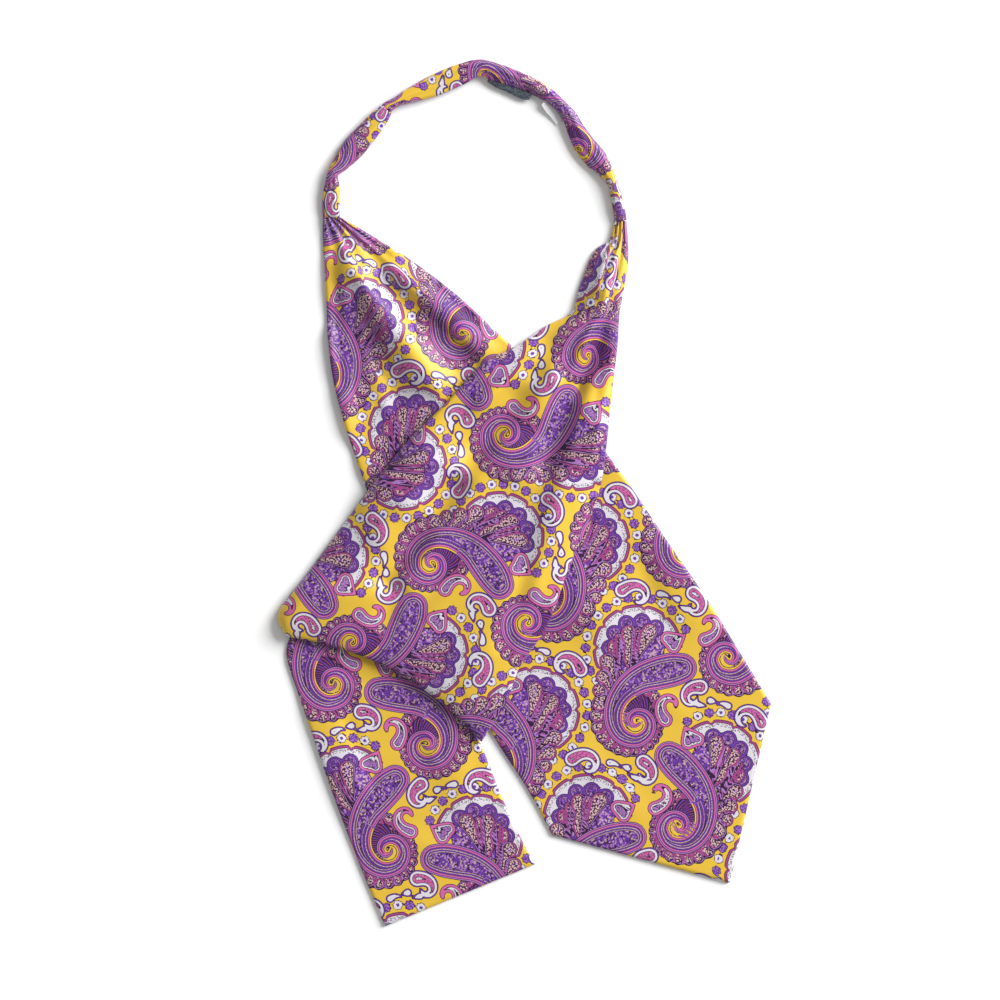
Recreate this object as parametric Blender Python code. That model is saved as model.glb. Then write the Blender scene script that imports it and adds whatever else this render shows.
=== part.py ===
"""A silk day cravat laid flat on a table and seen from above.

Two wide blades of doubled silk hang from a narrow gathered neckband. The blade from the left shoulder
runs under the crossing and ends in a right-angled point at lower right. The blade from the right
shoulder lies over it, folds back softly at lower left, and its square end comes out from under the fold.

Frame: the table is z = 0, +Z is up, +Y runs from the ends of the blades to the back of the neck, and
the origin lies on the table under the middle of the whole cravat.
"""

from collections import namedtuple

import bmesh
import bpy
import numpy as np

MM = 0.001

# Cloth and spacing, in millimetres
CLOTH = 2.0
SEAM_GAP = 0.35
LAYER_GAP = 0.7

# How a blade that lies over another comes down beside it, and how its free edges settle
STEP_DOWN = 16.0
EDGE_SETTLE = 26.0
OVER_LIFT = 4.0
ROLL_RADIUS = 9.0
ROLL_HEIGHT = 3.2
SHOULDER_REACH = 90.0

# Sections of each blade from the neckband down, a row for each: the left and right edges on the table,
# and how far the middle of the row runs ahead of its ends, all in millimetres
Section = namedtuple("Section", "left_x left_y right_x right_y ahead")

LEFT_PANEL_SECTIONS = (
    Section(-117, 160, -106, 160, 0),
    Section(-117, 147, -86, 148, 0),
    Section(-116, 131, -64, 134, 0),
    Section(-115, 112, -38, 114, 0),
    Section(-114, 90, -10, 88, 0),
    Section(-111, 66, 14, 69, 0),
    Section(-105, 42, 26, 55, 0),
    Section(-97, 18, 35, 43, 0),
    Section(-88, -8, 42, 31, 0),
)

POINTED_BLADE_SECTIONS = (
    Section(-88, -8, 42, 31, 0),
    Section(-77, -34, 50, 20, 0),
    Section(-58, -70, 63, 2, 0),
    Section(-37, -108, 83, -28, 0),
    Section(-16, -144, 105, -60, 10),
    Section(2, -172, 126, -94, 40),
    Section(16, -198, 143, -122, 77),
)

OVER_PANEL_SECTIONS = (
    Section(52, 158, 59, 158, 0),
    Section(49, 147, 60, 147, 0),
    Section(40, 140, 60, 134, 0),
    Section(32, 120, 58, 120, 0),
    Section(27, 105, 55, 104, 0),
    Section(12, 97, 54, 87, 0),
    Section(-4, 86, 52, 70, 0),
    Section(-26, 74, 50, 53, 0),
    Section(-45, 53, 48, 33, 0),
    Section(-66, 32, 46, 16, 0),
    Section(-86, 8, 43, 0, 0),
    Section(-100, -11, 36, -20, 0),
    Section(-114, -30, 26, -42, 0),
    Section(-128, -49, 18, -65, 0),
    Section(-140, -64, 10, -82, 0),
    Section(-143, -72, -3, -101, -2),
    Section(-141, -78, -11, -122, -7),
    Section(-138, -83, -25, -144, -12),
)

SQUARE_END_SECTIONS = (
    Section(-127, -62, -70, -62, 0),
    Section(-135, -80, -58, -85, 0),
    Section(-138, -94, -43, -114, 0),
    Section(-132, -114, -31, -134, 0),
    Section(-124, -137, -23, -151, 0),
    Section(-112, -172, -14, -174, 0),
    Section(-97, -212, -3, -198, 0),
    Section(-81, -251, 6, -215, 0),
)

# Large folds, a row for each: where its crest starts and ends on the table, its half width, and its
# height, which is negative in a trough
Fold = namedtuple("Fold", "from_x from_y to_x to_y half_width height")

LOWER_FOLDS = (
    Fold(-113, 148, -108, 54, 6, 2.4),
    Fold(-103, 146, -40, 59, 8, 4.2),
    Fold(-86, 145, -2, 84, 6, 2.6),
    Fold(-98, 20, -48, -20, 9, 1.4),
    Fold(12, -40, 60, -90, 14, 1.6),
    Fold(75, -25, 108, -85, 12, 1.3),
)

OVER_FOLDS = (
    Fold(50, 140, 30, 74, 6, 2.0),
    Fold(35, 97, -32, 43, 8, 3.2),
    Fold(46, 85, -10, 20, 7, -1.8),
    Fold(44, 60, 10, -45, 12, 3.6),
    Fold(-10, 12, -81, -85, 9, -2.6),
    Fold(-49, 25, -113, -60, 14, 2.8),
    Fold(5, -45, -43, -108, 15, 2.8),
)

SQUARE_FOLDS = (
    Fold(-122, -120, -92, -190, 12, 1.5),
    Fold(-52, -135, -30, -190, 11, 1.3),
)

# Gathers drawn into the shoulders, a row for each: where it runs across the blade, from 0 at the left
# edge to 1 at the right, its half width there, its height, and how far it reaches down the blade, from 0
# at the shoulder to 1 at the panel's other end
Gather = namedtuple("Gather", "across half_width height reach")

GATHER_FADE = 1.5

LEFT_GATHERS = (
    Gather(0.10, 0.07, 1.5, 0.30),
    Gather(0.30, 0.08, 2.0, 0.42),
    Gather(0.52, 0.08, 1.6, 0.34),
    Gather(0.72, 0.07, 1.9, 0.38),
    Gather(0.90, 0.06, 1.3, 0.26),
)

RIGHT_GATHERS = (
    Gather(0.12, 0.08, 1.5, 0.22),
    Gather(0.36, 0.09, 2.0, 0.30),
    Gather(0.62, 0.09, 1.7, 0.36),
    Gather(0.86, 0.08, 1.5, 0.28),
)

# The neckband from the left shoulder round the back of the neck to the right shoulder, a row for each
# section: its middle on the table and its width. Where it is narrow the tube turns over on itself.
Band = namedtuple("Band", "x y width")

NECKBAND_SECTIONS = (
    Band(-111.7, 160.4, 10.0),
    Band(-111.8, 170.2, 10.3),
    Band(-111.4, 177.5, 9.2),
    Band(-111.0, 185.3, 6.0),
    Band(-106.2, 191.6, 9.8),
    Band(-98.5, 200.8, 13.6),
    Band(-89.4, 211.2, 12.2),
    Band(-83.8, 218.0, 10.4),
    Band(-79.0, 224.0, 6.4),
    Band(-74.0, 227.0, 5.4),
    Band(-69.0, 229.6, 7.2),
    Band(-61.2, 232.7, 10.4),
    Band(-51.3, 236.7, 12.8),
    Band(-38.6, 242.3, 12.8),
    Band(-26.4, 246.9, 9.8),
    Band(-15.9, 244.2, 11.0),
    Band(-3.2, 239.8, 9.8),
    Band(7.2, 235.2, 8.8),
    Band(14.8, 230.2, 7.6),
    Band(21.4, 224.5, 6.8),
    Band(26.4, 218.4, 8.7),
    Band(29.9, 211.4, 10.4),
    Band(35.7, 201.5, 13.0),
    Band(41.5, 194.6, 13.2),
    Band(46.7, 187.6, 9.3),
    Band(51.0, 180.1, 5.4),
    Band(53.1, 172.5, 6.4),
    Band(54.5, 165.4, 6.8),
    Band(55.5, 158.4, 7.0),
)

# The stretches of the neckband that show between its twists: their names, and where each ends, from 0 at
# the left shoulder to 1 at the right
NECKBAND_STRETCHES = (("neckband_left", 0.28), ("neckband_back", 0.67), ("neckband_right", 1.0))

BAND_THICKNESS = 6.0
BAND_TWIST_THICKNESS = 7.4
BAND_WIDEST = 13.0
BAND_FLUTES = 3
BAND_FLUTE_DEPTH = 0.07
BAND_SIDES = 16
BAND_FLUTE_TURN = 2.6
BAND_FLAT = 0.12
NECKBAND_LENGTH = 255.0

# The lining's showing strip and the label lie along the neckband's inner edge, a row for each section: how
# far along the neckband it is, from 0 to 1, and how far from that edge the piece starts and ends
Beside = namedtuple("Beside", "along near far")

LINING_SECTIONS = (
    Beside(0.535, 0.4, 1.7),
    Beside(0.555, 0.4, 3.1),
    Beside(0.575, 0.4, 3.7),
    Beside(0.600, 0.4, 4.7),
    Beside(0.625, 0.4, 5.1),
    Beside(0.640, 0.4, 4.0),
)
LINING_HEIGHT = 1.4
LINING_RISE = 1.2

# The blank label is sewn in at the neckband's inner edge and slopes down until its free end is on the table
LABEL_SECTIONS = (
    Beside(0.674, 0.35, 3.2),
    Beside(0.695, 0.40, 5.2),
    Beside(0.715, 0.50, 5.6),
    Beside(0.738, 0.90, 4.8),
)
LABEL_HEIGHT = 2.4
TRIM = 1.0

# Rows and columns of each surface, and the steps in which curves are read
LEFT_PANEL_GRID = (26, 26)
POINTED_BLADE_GRID = (22, 22)
OVER_PANEL_GRID = (44, 28)
SQUARE_END_GRID = (20, 14)
NECKBAND_ROWS = 30
NECKBAND_STEPS = 300
LINING_GRID = (14, 4)
LABEL_GRID = (14, 4)
CURVE_STEPS = 20
OUTLINE_ROWS = 24

SILK_GOLD = (0.76, 0.49, 0.06)
SILK_PURPLE = (0.19, 0.07, 0.30)
LINING_GREY = (0.10, 0.12, 0.15)
LABEL_WHITE = (0.80, 0.80, 0.80)
SILK_ROUGHNESS = 0.45
LINING_ROUGHNESS = 0.6
SHARP_ANGLE = 1.0


def along_rows(table, count):
    """The table's rows joined by a smooth curve (Catmull-Rom) and read at equal steps along the middle of
    the piece, as one array for each named column."""
    rows = np.array(table, dtype=float)
    knots = np.vstack([2 * rows[0] - rows[1], rows, 2 * rows[-1] - rows[-2]])
    t = np.linspace(0, 1, CURVE_STEPS, endpoint=False)[:, None]
    fine = []
    for before, start, end, after in zip(knots[:-3], knots[1:-2], knots[2:-1], knots[3:]):
        fine.append(0.5 * (2 * start + (end - before) * t
                           + (2 * before - 5 * start + 4 * end - after) * t ** 2
                           + (3 * start - before - 3 * end + after) * t ** 3))
    fine = np.vstack(fine + [rows[-1:]])
    named = type(table[0])(*fine.T)
    if isinstance(table[0], Section):
        middle_x = (named.left_x + named.right_x) / 2
        middle_y = (named.left_y + named.right_y) / 2
    else:
        middle_x = named.x
        middle_y = named.y
    length = np.concatenate([[0], np.cumsum(np.hypot(np.diff(middle_x), np.diff(middle_y)))])
    wanted = np.linspace(0, length[-1], count)
    return type(table[0])(*[np.interp(wanted, length, column) for column in named])


def panel_plan(sections, grid, pointed=False):
    """The blade's points on the table: each row runs straight from its left edge to its right edge, and
    its middle is pushed ahead, in a bow or, on a pointed end, in a straight-sided point."""
    down, across = grid
    rows = along_rows(sections, down + 1)
    u = np.linspace(0, 1, across + 1)[None, :, None]
    left = np.column_stack([rows.left_x, rows.left_y])[:, None, :]
    right = np.column_stack([rows.right_x, rows.right_y])[:, None, :]
    chord = right - left
    travel = np.concatenate([chord[..., 1:2], -chord[..., 0:1]], axis=2)
    travel /= np.linalg.norm(travel, axis=2, keepdims=True)
    shape = 1 - np.abs(2 * u - 1) if pointed else 4 * u * (1 - u)
    return left + chord * u + travel * rows.ahead[:, None, None] * shape


def outline(*panels):
    """The outline of one blade's panels on the table, as a closed polygon: down the left edges and back
    up the right ones."""
    rows = [along_rows(sections, OUTLINE_ROWS) for sections in panels]
    left = [np.column_stack([row.left_x, row.left_y]) for row in rows]
    right = [np.column_stack([row.right_x, row.right_y])[::-1] for row in rows[::-1]]
    return np.vstack(left + right)


def distance_outside(x, y, polygon):
    """Distance from each point to the polygon, 0 inside it."""
    inside = np.zeros(x.shape, dtype=bool)
    nearest = np.full(x.shape, np.inf)
    for a, b in zip(polygon, np.roll(polygon, -1, axis=0)):
        side = b - a
        t = np.clip(((x - a[0]) * side[0] + (y - a[1]) * side[1]) / max(side @ side, 1e-9), 0, 1)
        nearest = np.minimum(nearest, np.hypot(x - a[0] - t * side[0], y - a[1] - t * side[1]))
        if a[1] != b[1]:
            crosses = (a[1] > y) != (b[1] > y)
            inside ^= crosses & (x < a[0] + (y - a[1]) * side[0] / side[1])
    return np.where(inside, 0.0, nearest)


def smooth_step(t):
    """0 below 0, 1 above 1, and an even slope between."""
    t = np.clip(t, 0, 1)
    return t * t * (3 - 2 * t)


def fold_height(x, y, folds):
    """Height of the folds at each point: each is a rounded crest along its line, fading at both ends."""
    total = np.zeros(x.shape)
    for fold in folds:
        length = np.hypot(fold.to_x - fold.from_x, fold.to_y - fold.from_y)
        dx = (fold.to_x - fold.from_x) / length
        dy = (fold.to_y - fold.from_y) / length
        along = (x - fold.from_x) * dx + (y - fold.from_y) * dy
        aside = (x - fold.from_x) * dy - (y - fold.from_y) * dx
        fade = smooth_step((along + fold.half_width) / (2 * fold.half_width))
        fade *= smooth_step((length + fold.half_width - along) / (3 * fold.half_width))
        total += fold.height * fade * np.clip(1 - (aside / (2 * fold.half_width)) ** 2, 0, 1) ** 3
    return total


def gather_height(plan, gathers):
    """Height of the gathers: each is a rounded crest that runs down the blade and fades out."""
    down = np.linspace(0, 1, plan.shape[0])[:, None]
    across = np.linspace(0, 1, plan.shape[1])[None, :]
    total = np.zeros(plan.shape[:2])
    for gather in gathers:
        fade = np.clip(1 - down / gather.reach, 0, 1) ** GATHER_FADE
        total += gather.height * fade * np.exp(-((across - gather.across) / gather.half_width) ** 2)
    return total


def line_distance(plan, line):
    """Distance from each point of the blade to a line of points on the table."""
    nearest = np.full(plan.shape[:2], np.inf)
    for a, b in zip(line[:-1], line[1:]):
        side = b - a
        t = np.clip(((plan - a) @ side) / max(side @ side, 1e-9), 0, 1)
        nearest = np.minimum(nearest, np.linalg.norm(plan - a - t[..., None] * side, axis=2))
    return nearest


def edge_distance(plan):
    """Distance from each point of the blade to the nearer of its two long edges."""
    return np.minimum(line_distance(plan, plan[:, 0]), line_distance(plan, plan[:, -1]))


def lower_height(x, y):
    """Underside of the blade that lies on the table: flat, but hollow under each fold."""
    return np.maximum(fold_height(x, y, LOWER_FOLDS), 0)


def square_height(x, y):
    """Underside of the square end, flat on the table and hollow under its low folds."""
    return np.maximum(fold_height(x, y, SQUARE_FOLDS), 0)


def support_height(x, y):
    """What the upper blade rests on: the blades below it, a layer's gap up, and the table beside them."""
    first_blade = outline(LEFT_PANEL_SECTIONS, POINTED_BLADE_SECTIONS)
    square_end = outline(SQUARE_END_SECTIONS)
    total = np.zeros(x.shape)
    for polygon, height in ((first_blade, lower_height), (square_end, square_height)):
        beside = distance_outside(x, y, polygon)
        step = 1 - smooth_step((beside - SEAM_GAP) / STEP_DOWN)
        total = np.maximum(total, (height(x, y) + CLOTH + LAYER_GAP) * step)
    return total


def wall(name, plan, heights, thick, colour, roughness):
    """A cloth wall: the underside's surface, drawn straight up by its thickness."""
    heights = np.broadcast_to(heights, plan.shape[:2])
    rows, columns = plan.shape[:2]
    points = np.concatenate([plan, heights[..., None]], axis=2).reshape(-1, 3) * MM
    build = bmesh.new()
    corners = [build.verts.new(point) for point in points]
    for row in range(rows - 1):
        for column in range(columns - 1):
            first = row * columns + column
            build.faces.new([corners[i] for i in (first, first + columns, first + columns + 1, first + 1)])
    drawn = bmesh.ops.extrude_face_region(build, geom=build.faces[:], use_keep_orig=True)
    raised = [item for item in drawn["geom"] if isinstance(item, bmesh.types.BMVert)]
    bmesh.ops.translate(build, verts=raised, vec=(0, 0, thick * MM))
    bmesh.ops.recalc_face_normals(build, faces=build.faces)
    return add_piece(name, build, colour, roughness)


def add_piece(name, build, colour, roughness):
    """The finished mesh as one smooth object with its own plain material."""
    mesh = bpy.data.meshes.new(name)
    build.to_mesh(mesh)
    build.free()
    mesh.shade_smooth()
    mesh.set_sharp_from_angle(angle=SHARP_ANGLE)
    obj = bpy.data.objects.new(name, mesh)
    COLLECTION.objects.link(obj)
    material = bpy.data.materials.new(name)
    material.use_nodes = True
    shader = material.node_tree.nodes["Principled BSDF"]
    shader.inputs["Base Color"].default_value = (*colour, 1)
    shader.inputs["Roughness"].default_value = roughness
    shader.inputs["Metallic"].default_value = 0
    mesh.materials.append(material)
    return obj


def neckband_at(along):
    """The middle of the neckband at each place along it, the way square to it towards the neck, and its
    width there."""
    rows = along_rows(NECKBAND_SECTIONS, NECKBAND_STEPS)
    travel = np.gradient(np.column_stack([rows.x, rows.y]), axis=0)
    travel /= np.linalg.norm(travel, axis=1, keepdims=True)
    steps = np.linspace(0, 1, NECKBAND_STEPS)
    middle = np.column_stack([np.interp(along, steps, column) for column in (rows.x, rows.y)])
    aside = np.column_stack([np.interp(along, steps, column) for column in (travel[:, 1], -travel[:, 0])])
    return middle, aside, np.interp(along, steps, rows.width)[:, None]


def beside_neckband(sections, grid):
    """A strip on the table made from the neckband's inner edge, each side moved out by its own distance."""
    down, across = grid
    rows = Beside(*np.array(sections).T)
    along = np.linspace(rows.along[0], rows.along[-1], down + 1)
    near = np.interp(along, rows.along, rows.near)[:, None, None]
    far = np.interp(along, rows.along, rows.far)[:, None, None]
    middle, aside, width = neckband_at(along)
    edge = middle + aside * width / 2
    u = np.linspace(0, 1, across + 1)[None, :, None]
    return edge[:, None, :] + aside[:, None, :] * (near + (far - near) * u)


def tube(name, start, end):
    """A stretch of the neckband: a flattened, fluted tube carried along it, lying on the table. It is
    thinner where it is wide, and its flutes wind slowly round it."""
    middle, aside, width = neckband_at(np.linspace(start, end, NECKBAND_ROWS))
    thickness = BAND_THICKNESS + (BAND_TWIST_THICKNESS - BAND_THICKNESS) * (1 - width / BAND_WIDEST)
    turn = np.linspace(0, 2 * np.pi, BAND_SIDES, endpoint=False)[None, :]
    wind = np.linspace(0, BAND_FLUTE_TURN, NECKBAND_ROWS)[:, None]
    radius = 1 - BAND_FLUTE_DEPTH * (1 + np.cos(BAND_FLUTES * turn + wind))
    out = np.cos(turn) * radius * width / 2
    up = (1 + np.sin(turn) * radius) * thickness / 2
    up = np.maximum(up - BAND_FLAT * thickness, 0)
    points = np.concatenate([middle[:, None, :] + aside[:, None, :] * out[..., None], up[..., None]], axis=2)
    build = bmesh.new()
    rings = [[build.verts.new(point * MM) for point in ring] for ring in points]
    for ring, after in zip(rings[:-1], rings[1:]):
        for i in range(BAND_SIDES):
            j = (i + 1) % BAND_SIDES
            build.faces.new((ring[i], ring[j], after[j], after[i]))
    build.faces.new(rings[0][::-1])
    build.faces.new(rings[-1])
    bmesh.ops.recalc_face_normals(build, faces=build.faces)
    return add_piece(name, build, SILK_PURPLE, SILK_ROUGHNESS)


def settle(distance):
    """A share that is zero at the edge, where the cloth settles, and comes up to 1 away from it."""
    return 1 - np.exp(-3 * distance / EDGE_SETTLE)


def roll(distance):
    """The rounded edge of a soft fold: a quarter circle's rise within its radius."""
    t = np.clip(distance / ROLL_RADIUS, 0, 1)
    return ROLL_HEIGHT * np.sqrt(1 - (1 - t) ** 2)


def move_start(plan, gap):
    """The blade's first row drawn back by the gap, so that it stays clear of the piece before it."""
    moved = plan.copy()
    ahead = plan[1] - plan[0]
    moved[0] += ahead / np.linalg.norm(ahead, axis=1, keepdims=True) * gap
    return moved


for old in list(bpy.data.objects):
    bpy.data.objects.remove(old, do_unlink=True)

COLLECTION = bpy.data.collections.new("silk_cravat")
bpy.context.scene.collection.children.link(COLLECTION)

# The first blade: from the left shoulder under the crossing, and on to its point
left_plan = move_start(panel_plan(LEFT_PANEL_SECTIONS, LEFT_PANEL_GRID), SEAM_GAP)
left_rise = lower_height(left_plan[..., 0], left_plan[..., 1]) + gather_height(left_plan, LEFT_GATHERS)
wall("left_panel", left_plan, left_rise, CLOTH, SILK_GOLD, SILK_ROUGHNESS)

blade_plan = move_start(panel_plan(POINTED_BLADE_SECTIONS, POINTED_BLADE_GRID, pointed=True), SEAM_GAP)
blade_rise = lower_height(blade_plan[..., 0], blade_plan[..., 1])
wall("pointed_blade", blade_plan, blade_rise, CLOTH, SILK_GOLD, SILK_ROUGHNESS)

# The square end, which lies on the table beside the first blade
square_plan = panel_plan(SQUARE_END_SECTIONS, SQUARE_END_GRID)
square_rise = square_height(square_plan[..., 0], square_plan[..., 1])
wall("square_end", square_plan, square_rise, CLOTH, SILK_GOLD, SILK_ROUGHNESS)

# The second blade, over the others, with a rounded soft fold at its lower end
over_plan = move_start(panel_plan(OVER_PANEL_SECTIONS, OVER_PANEL_GRID), SEAM_GAP)
over_x = over_plan[..., 0]
over_y = over_plan[..., 1]
over_lift = OVER_LIFT + np.maximum(fold_height(over_x, over_y, OVER_FOLDS), -OVER_LIFT)
over_shoulder = line_distance(over_plan, over_plan[0])
over_end = line_distance(over_plan, over_plan[-1])
over_ease = settle(np.minimum(edge_distance(over_plan), np.minimum(over_shoulder, over_end)))
over_rise = support_height(over_x, over_y) + over_lift * over_ease
over_rise += roll(over_end) * smooth_step(over_shoulder / SHOULDER_REACH)
over_rise += gather_height(over_plan, RIGHT_GATHERS)
wall("over_panel", over_plan, over_rise, CLOTH, SILK_GOLD, SILK_ROUGHNESS)

# The neckband in its three stretches, with its lining's strip and the label
stretch_start = 0.0
for stretch_name, stretch_end in NECKBAND_STRETCHES:
    tube(stretch_name, stretch_start, stretch_end)
    stretch_start = stretch_end + SEAM_GAP / NECKBAND_LENGTH

strip_plan = beside_neckband(LINING_SECTIONS, LINING_GRID)
strip_rise = LINING_HEIGHT + LINING_RISE * np.linspace(1, 0, strip_plan.shape[1])[None, :]
wall("neckband_lining", strip_plan, strip_rise, TRIM, LINING_GREY, LINING_ROUGHNESS)

label_plan = beside_neckband(LABEL_SECTIONS, LABEL_GRID)
label_rise = LABEL_HEIGHT * np.linspace(1, 0, label_plan.shape[0])[:, None] ** 2
wall("blank_label", label_plan, label_rise, TRIM, LABEL_WHITE, LINING_ROUGHNESS)
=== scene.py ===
from collections import namedtuple

import bpy
import numpy as np
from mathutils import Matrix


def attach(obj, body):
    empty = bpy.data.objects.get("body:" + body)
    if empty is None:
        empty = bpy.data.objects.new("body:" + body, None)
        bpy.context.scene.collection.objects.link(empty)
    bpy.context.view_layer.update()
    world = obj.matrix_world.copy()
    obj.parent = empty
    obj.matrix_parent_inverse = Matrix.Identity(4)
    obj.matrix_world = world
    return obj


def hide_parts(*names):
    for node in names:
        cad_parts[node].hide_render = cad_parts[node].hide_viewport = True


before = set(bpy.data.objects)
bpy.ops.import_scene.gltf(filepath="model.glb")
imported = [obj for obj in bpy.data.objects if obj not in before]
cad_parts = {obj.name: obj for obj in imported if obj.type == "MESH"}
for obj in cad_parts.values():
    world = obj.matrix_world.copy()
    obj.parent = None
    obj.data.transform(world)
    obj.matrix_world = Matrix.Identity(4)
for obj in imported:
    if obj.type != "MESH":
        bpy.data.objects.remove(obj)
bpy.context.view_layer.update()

MM = 0.001

# The first blade of doubled printed silk. From the gathered left shoulder it lies flat on the table, runs
# under the crossing and ends at lower right in a right-angled point. Its long edges are turned in and
# pressed, and soft creases run down it from the shoulder.

Section = namedtuple("Section", "left_x left_y right_x right_y ahead")

LEFT_PANEL_SECTIONS = (
    Section(-117, 160, -106, 160, 0),
    Section(-117, 147, -86, 148, 0),
    Section(-116, 131, -64, 134, 0),
    Section(-115, 112, -38, 114, 0),
    Section(-114, 90, -10, 88, 0),
    Section(-111, 66, 14, 69, 0),
    Section(-105, 42, 26, 55, 0),
    Section(-97, 18, 35, 43, 0),
    Section(-88, -8, 42, 31, 0),
)

POINTED_BLADE_SECTIONS = (
    Section(-88, -8, 42, 31, 0),
    Section(-77, -34, 50, 20, 0),
    Section(-58, -70, 63, 2, 0),
    Section(-37, -108, 83, -28, 0),
    Section(-16, -144, 105, -60, 10),
    Section(2, -172, 126, -94, 40),
    Section(16, -198, 143, -122, 77),
)

# Folds and creases, a row for each: where the crest starts and ends on the table, its half width and its
# height, negative in a trough
Fold = namedtuple("Fold", "from_x from_y to_x to_y half_width height")

LOWER_FOLDS = (
    Fold(-114, 96, -101, 28, 6, 2.4),
    Fold(-107, 139, -47, 57, 8, 4.2),
    Fold(-80, 134, -16, 76, 7, 3.2),
    Fold(-98, 20, -48, -20, 9, 1.4),
    Fold(12, -40, 60, -90, 14, 1.6),
    Fold(75, -25, 108, -85, 12, 1.3),
    Fold(-106, 130, -56, 62, 14, 3.4),
    Fold(-52, 68, -64, 12, 13, 3.2),
    Fold(-86, 126, -30, 72, 6, -2.4),
)

LOWER_CREASES = (
    Fold(-101, 124, -81, 68, 4.0, -1.7),
    Fold(-110, 140, -107, 60, 3.0, -1.4),
    Fold(-84, 124, -30, 73, 4.6, -1.7),
    Fold(-94, 136, -62, 92, 3.0, 0.5),
    Fold(-54, 58, -80, 4, 5.0, -1.7),
    Fold(-92, 92, -78, 40, 4.0, 0.9),
    Fold(-104, 104, -68, 52, 6.0, -1.5),
    Fold(-58, 50, -84, -8, 4.0, -1.2),
    Fold(-8, -112, 30, -132, 5.0, -0.6),
    Fold(52, -110, 96, -128, 6.0, 0.6),
    Fold(30, -150, 70, -190, 7.0, 0.5),
    Fold(66, -34, 84, -84, 6.0, -0.8),
)

# Gathers drawn into a shoulder, a row for each: where it runs across the blade, its half width there, its
# height, how far down the blade it reaches, and how much cloth is tucked away beside it
Gather = namedtuple("Gather", "across half_width height reach tucked")

LEFT_GATHERS = (
    Gather(0.10, 0.06, 1.5, 0.30, 6),
    Gather(0.30, 0.07, 2.0, 0.46, 8),
    Gather(0.52, 0.07, 1.6, 0.34, 6),
    Gather(0.72, 0.06, 1.9, 0.42, 7),
    Gather(0.90, 0.05, 1.3, 0.26, 5),
)

# Where one motif's spiral lies on each panel and how far the print is turned there
Lay = namedtuple("Lay", "x y turn")

# The print is drawn in steps of 0.58 mm. Two motifs, mirror images of each other, fill a repeat.
STEP = 0.58
REPEAT = (176, 189)
MIRRORED_AT = (88, 70)
HEAD_TURN = 24

# A chain of circles draws each rounded form: middle and radius
Link = namedtuple("Link", "x y radius")

COIL = (
    Link(1.6, 2.0, 2.4),
    Link(-1.8, 1.2, 3.0),
    Link(-3.4, -3.4, 4.0),
    Link(1.2, -7.4, 5.0),
    Link(8.0, -5.4, 5.8),
    Link(11.6, 2.6, 6.3),
    Link(8.4, 10.8, 6.8),
    Link(-0.8, 15.4, 7.4),
    Link(-12.8, 11.2, 8.2),
    Link(-18.6, -1.6, 9.2),
    Link(-15.2, -14.4, 9.8),
    Link(-5.0, -24.4, 10.6),
    Link(8.4, -29.2, 11.8),
    Link(23.0, -29.2, 13.6),
    Link(38.0, -24.6, 15.4),
    Link(52.0, -15.8, 17.2),
    Link(64.0, -6.8, 17.2),
    Link(71.5, -0.4, 15.0),
)

# From this share of its circles on, the coil is its broad head, banded alike on both sides
HEAD_FROM = 0.80

# A drop starts as a round end and bends into its tip: where it starts, its heading, length and bend in
# degrees, and the radii of the round end and of the tip
Drop = namedtuple("Drop", "x y heading length bend radius tip")

WHITE_DROPS = (
    Drop(70, 27, -128, 40, -262, 8.8, 1.9),
    Drop(90, -97, 14, 49, 250, 8.6, 1.9),
    Drop(54, 35, 60, 9, 0, 4.0, 1.0),
    Drop(65, 42, 60, 6, 0, 4.4, 1.4),
    Drop(113, -66, 50, 13, 70, 4.4, 1.0),
)
PINK_DROPS = (
    Drop(21, 22, -78, 43, 235, 7.6, 2.0),
    Drop(82, -21, 3, 18, 0, 7.6, 0.4),
    Drop(84, -31, 38, 18, 0, 7.6, 0.4),
    Drop(83, -26, 20, 5, 0, 7.0, 6.0),
)
PETALS = (
    Drop(80, -49, 172, 46, -30, 8.4, 0.8),
    Drop(65, -64, 150, 42, -34, 8.8, 0.8),
    Drop(46, -66, 142, 38, -34, 8.6, 0.8),
    Drop(73, -60, 150, 38, -20, 3.4, 0.8),
    Drop(55, -71, 140, 40, -20, 3.4, 0.8),
    Drop(29, -63, 128, 34, -34, 8.0, 0.8),
    Drop(14, -56, 118, 28, -34, 7.4, 0.8),
    Drop(1, -50, 108, 24, -34, 7.0, 0.8),
)

# The fan's middle and rim, its scalloped lobes, and the ring of daisies round it
FAN = (57, -46.5)
FAN_RIM = 45
FAN_HEART = 27
LOBE_TURNS = (-160, -128, -96, -64, -32, 0)
LOBE_AWAY = 28
LOBE_RADIUS = 8.6
RIM_FROM = -165
RIM_TO = 28
DAISY_AWAY = 52
DAISY_TURNS = tuple(range(-168, 30, 13))
DAISY_RADIUS = 5.0

# The frill round the spiral: how far out it reaches at each turn, and how many strokes go round it
FRILL_TURN = (-30, 0, 15, 40, 90, 135, 180, 225, 270, 300, 330)
FRILL_AWAY = (43, 36, 29, 27, 29, 33, 38, 45, 50, 51, 45)
FRILL_SCALLOPS = 22


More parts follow.
